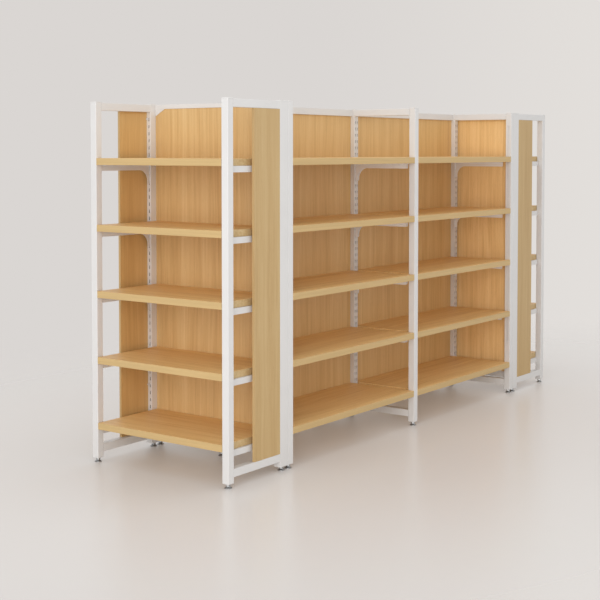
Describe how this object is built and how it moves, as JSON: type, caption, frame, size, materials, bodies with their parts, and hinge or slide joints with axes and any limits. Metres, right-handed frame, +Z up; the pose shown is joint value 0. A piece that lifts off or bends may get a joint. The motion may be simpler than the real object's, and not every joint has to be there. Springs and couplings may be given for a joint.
{
  "type": "gondola shelving unit",
  "caption": "Double-sided gondola shelving run with slotted steel frames, wooden shelves and back panels, and outward-facing end units.",
  "frame": {"origin": "on the floor under the middle of the unit", "axes": "+X along the run, -Y towards its front side, +Z up"},
  "size_m": [2.997, 0.795, 1.62],
  "materials": {
    "white_steel": "satin powder coat, warm white",
    "panel_wood": "light oak laminate, grain upright",
    "shelf_wood": "light oak laminate, grain along the shelf, paler front edge",
    "cap_plastic": "moulded white plastic",
    "foot_metal": "zinc plated"
  },
  "bodies": {
    "root": {"run_frame_left": "white_steel", "run_frame_middle": "white_steel", "run_frame_right": "white_steel", "left_end_frames": "white_steel", "right_end_frames": "white_steel", "end_side_panels": "panel_wood", "left_end_back_panel": "panel_wood", "right_end_back_panel": "panel_wood", "run_back_panels": "panel_wood", "spine_rails": "white_steel", "end_rear_rails": "white_steel", "front_brackets": "white_steel", "back_brackets": "white_steel", "left_end_brackets": "white_steel", "right_end_brackets": "white_steel", "base_shelves": "shelf_wood", "post_caps": "cap_plastic", "foot_sockets": "foot_metal", "joining_bolts": "white_steel"},
    "front_left_shelf_2": {"front_left_shelf_2": "shelf_wood"},
    "front_left_shelf_3": {"front_left_shelf_3": "shelf_wood"},
    "front_left_shelf_4": {"front_left_shelf_4": "shelf_wood"},
    "front_left_shelf_5": {"front_left_shelf_5": "shelf_wood"},
    "front_right_shelf_2": {"front_right_shelf_2": "shelf_wood"},
    "front_right_shelf_3": {"front_right_shelf_3": "shelf_wood"},
    "front_right_shelf_4": {"front_right_shelf_4": "shelf_wood"},
    "front_right_shelf_5": {"front_right_shelf_5": "shelf_wood"},
    "back_left_shelf_2": {"back_left_shelf_2": "shelf_wood"},
    "back_left_shelf_3": {"back_left_shelf_3": "shelf_wood"},
    "back_left_shelf_4": {"back_left_shelf_4": "shelf_wood"},
    "back_left_shelf_5": {"back_left_shelf_5": "shelf_wood"},
    "back_right_shelf_2": {"back_right_shelf_2": "shelf_wood"},
    "back_right_shelf_3": {"back_right_shelf_3": "shelf_wood"},
    "back_right_shelf_4": {"back_right_shelf_4": "shelf_wood"},
    "back_right_shelf_5": {"back_right_shelf_5": "shelf_wood"},
    "left_end_shelf_2": {"left_end_shelf_2": "shelf_wood"},
    "left_end_shelf_3": {"left_end_shelf_3": "shelf_wood"},
    "left_end_shelf_4": {"left_end_shelf_4": "shelf_wood"},
    "left_end_shelf_5": {"left_end_shelf_5": "shelf_wood"},
    "right_end_shelf_2": {"right_end_shelf_2": "shelf_wood"},
    "right_end_shelf_3": {"right_end_shelf_3": "shelf_wood"},
    "right_end_shelf_4": {"right_end_shelf_4": "shelf_wood"},
    "right_end_shelf_5": {"right_end_shelf_5": "shelf_wood"},
    "left_frame_front_foot": {"left_frame_front_foot": "foot_metal"},
    "left_frame_spine_foot": {"left_frame_spine_foot": "foot_metal"},
    "left_frame_back_foot": {"left_frame_back_foot": "foot_metal"},
    "middle_frame_front_foot": {"middle_frame_front_foot": "foot_metal"},
    "middle_frame_spine_foot": {"middle_frame_spine_foot": "foot_metal"},
    "middle_frame_back_foot": {"middle_frame_back_foot": "foot_metal"},
    "right_frame_front_foot": {"right_frame_front_foot": "foot_metal"},
    "right_frame_spine_foot": {"right_frame_spine_foot": "foot_metal"},
    "right_frame_back_foot": {"right_frame_back_foot": "foot_metal"},
    "left_end_front_near_foot": {"left_end_front_near_foot": "foot_metal"},
    "left_end_front_far_foot": {"left_end_front_far_foot": "foot_metal"},
    "left_end_rear_near_foot": {"left_end_rear_near_foot": "foot_metal"},
    "left_end_rear_far_foot": {"left_end_rear_far_foot": "foot_metal"},
    "right_end_front_near_foot": {"right_end_front_near_foot": "foot_metal"},
    "right_end_front_far_foot": {"right_end_front_far_foot": "foot_metal"},
    "right_end_rear_near_foot": {"right_end_rear_near_foot": "foot_metal"},
    "right_end_rear_far_foot": {"right_end_rear_far_foot": "foot_metal"}
  },
  "joints": [
    {"name": "front_left_shelf_2_lift", "type": "slide", "parent": "root", "child": "front_left_shelf_2", "axis": [0, 0, 1], "range_m": [0, 0.15]},
    {"name": "front_left_shelf_3_lift", "type": "slide", "parent": "root", "child": "front_left_shelf_3", "axis": [0, 0, 1], "range_m": [0, 0.15]},
    {"name": "front_left_shelf_4_lift", "type": "slide", "parent": "root", "child": "front_left_shelf_4", "axis": [0, 0, 1], "range_m": [0, 0.15]},
    {"name": "front_left_shelf_5_lift", "type": "slide", "parent": "root", "child": "front_left_shelf_5", "axis": [0, 0, 1], "range_m": [0, 0.15]},
    {"name": "front_right_shelf_2_lift", "type": "slide", "parent": "root", "child": "front_right_shelf_2", "axis": [0, 0, 1], "range_m": [0, 0.15]},
    {"name": "front_right_shelf_3_lift", "type": "slide", "parent": "root", "child": "front_right_shelf_3", "axis": [0, 0, 1], "range_m": [0, 0.15]},
    {"name": "front_right_shelf_4_lift", "type": "slide", "parent": "root", "child": "front_right_shelf_4", "axis": [0, 0, 1], "range_m": [0, 0.15]},
    {"name": "front_right_shelf_5_lift", "type": "slide", "parent": "root", "child": "front_right_shelf_5", "axis": [0, 0, 1], "range_m": [0, 0.15]},
    {"name": "back_left_shelf_2_lift", "type": "slide", "parent": "root", "child": "back_left_shelf_2", "axis": [0, 0, 1], "range_m": [0, 0.15]},
    {"name": "back_left_shelf_3_lift", "type": "slide", "parent": "root", "child": "back_left_shelf_3", "axis": [0, 0, 1], "range_m": [0, 0.15]},
    {"name": "back_left_shelf_4_lift", "type": "slide", "parent": "root", "child": "back_left_shelf_4", "axis": [0, 0, 1], "range_m": [0, 0.15]},
    {"name": "back_left_shelf_5_lift", "type": "slide", "parent": "root", "child": "back_left_shelf_5", "axis": [0, 0, 1], "range_m": [0, 0.15]},
    {"name": "back_right_shelf_2_lift", "type": "slide", "parent": "root", "child": "back_right_shelf_2", "axis": [0, 0, 1], "range_m": [0, 0.15]},
    {"name": "back_right_shelf_3_lift", "type": "slide", "parent": "root", "child": "back_right_shelf_3", "axis": [0, 0, 1], "range_m": [0, 0.15]},
    {"name": "back_right_shelf_4_lift", "type": "slide", "parent": "root", "child": "back_right_shelf_4", "axis": [0, 0, 1], "range_m": [0, 0.15]},
    {"name": "back_right_shelf_5_lift", "type": "slide", "parent": "root", "child": "back_right_shelf_5", "axis": [0, 0, 1], "range_m": [0, 0.15]},
    {"name": "left_end_shelf_2_lift", "type": "slide", "parent": "root", "child": "left_end_shelf_2", "axis": [0, 0, 1], "range_m": [0, 0.15]},
    {"name": "left_end_shelf_3_lift", "type": "slide", "parent": "root", "child": "left_end_shelf_3", "axis": [0, 0, 1], "range_m": [0, 0.15]},
    {"name": "left_end_shelf_4_lift", "type": "slide", "parent": "root", "child": "left_end_shelf_4", "axis": [0, 0, 1], "range_m": [0, 0.15]},
    {"name": "left_end_shelf_5_lift", "type": "slide", "parent": "root", "child": "left_end_shelf_5", "axis": [0, 0, 1], "range_m": [0, 0.15]},
    {"name": "right_end_shelf_2_lift", "type": "slide", "parent": "root", "child": "right_end_shelf_2", "axis": [0, 0, 1], "range_m": [0, 0.15]},
    {"name": "right_end_shelf_3_lift", "type": "slide", "parent": "root", "child": "right_end_shelf_3", "axis": [0, 0, 1], "range_m": [0, 0.15]},
    {"name": "right_end_shelf_4_lift", "type": "slide", "parent": "root", "child": "right_end_shelf_4", "axis": [0, 0, 1], "range_m": [0, 0.15]},
    {"name": "right_end_shelf_5_lift", "type": "slide", "parent": "root", "child": "right_end_shelf_5", "axis": [0, 0, 1], "range_m": [0, 0.15]},
    {"name": "left_frame_front_foot_thread", "type": "slide", "parent": "root", "child": "left_frame_front_foot", "axis": [0, 0, -1], "range_m": [0, 0.02]},
    {"name": "left_frame_spine_foot_thread", "type": "slide", "parent": "root", "child": "left_frame_spine_foot", "axis": [0, 0, -1], "range_m": [0, 0.02]},
    {"name": "left_frame_back_foot_thread", "type": "slide", "parent": "root", "child": "left_frame_back_foot", "axis": [0, 0, -1], "range_m": [0, 0.02]},
    {"name": "middle_frame_front_foot_thread", "type": "slide", "parent": "root", "child": "middle_frame_front_foot", "axis": [0, 0, -1], "range_m": [0, 0.02]},
    {"name": "middle_frame_spine_foot_thread", "type": "slide", "parent": "root", "child": "middle_frame_spine_foot", "axis": [0, 0, -1], "range_m": [0, 0.02]},
    {"name": "middle_frame_back_foot_thread", "type": "slide", "parent": "root", "child": "middle_frame_back_foot", "axis": [0, 0, -1], "range_m": [0, 0.02]},
    {"name": "right_frame_front_foot_thread", "type": "slide", "parent": "root", "child": "right_frame_front_foot", "axis": [0, 0, -1], "range_m": [0, 0.02]},
    {"name": "right_frame_spine_foot_thread", "type": "slide", "parent": "root", "child": "right_frame_spine_foot", "axis": [0, 0, -1], "range_m": [0, 0.02]},
    {"name": "right_frame_back_foot_thread", "type": "slide", "parent": "root", "child": "right_frame_back_foot", "axis": [0, 0, -1], "range_m": [0, 0.02]},
    {"name": "left_end_front_near_foot_thread", "type": "slide", "parent": "root", "child": "left_end_front_near_foot", "axis": [0, 0, -1], "range_m": [0, 0.02]},
    {"name": "left_end_front_far_foot_thread", "type": "slide", "parent": "root", "child": "left_end_front_far_foot", "axis": [0, 0, -1], "range_m": [0, 0.02]},
    {"name": "left_end_rear_near_foot_thread", "type": "slide", "parent": "root", "child": "left_end_rear_near_foot", "axis": [0, 0, -1], "range_m": [0, 0.02]},
    {"name": "left_end_rear_far_foot_thread", "type": "slide", "parent": "root", "child": "left_end_rear_far_foot", "axis": [0, 0, -1], "range_m": [0, 0.02]},
    {"name": "right_end_front_near_foot_thread", "type": "slide", "parent": "root", "child": "right_end_front_near_foot", "axis": [0, 0, -1], "range_m": [0, 0.02]},
    {"name": "right_end_front_far_foot_thread", "type": "slide", "parent": "root", "child": "right_end_front_far_foot", "axis": [0, 0, -1], "range_m": [0, 0.02]},
    {"name": "right_end_rear_near_foot_thread", "type": "slide", "parent": "root", "child": "right_end_rear_near_foot", "axis": [0, 0, -1], "range_m": [0, 0.02]},
    {"name": "right_end_rear_far_foot_thread", "type": "slide", "parent": "root", "child": "right_end_rear_far_foot", "axis": [0, 0, -1], "range_m": [0, 0.02]}
  ]
}
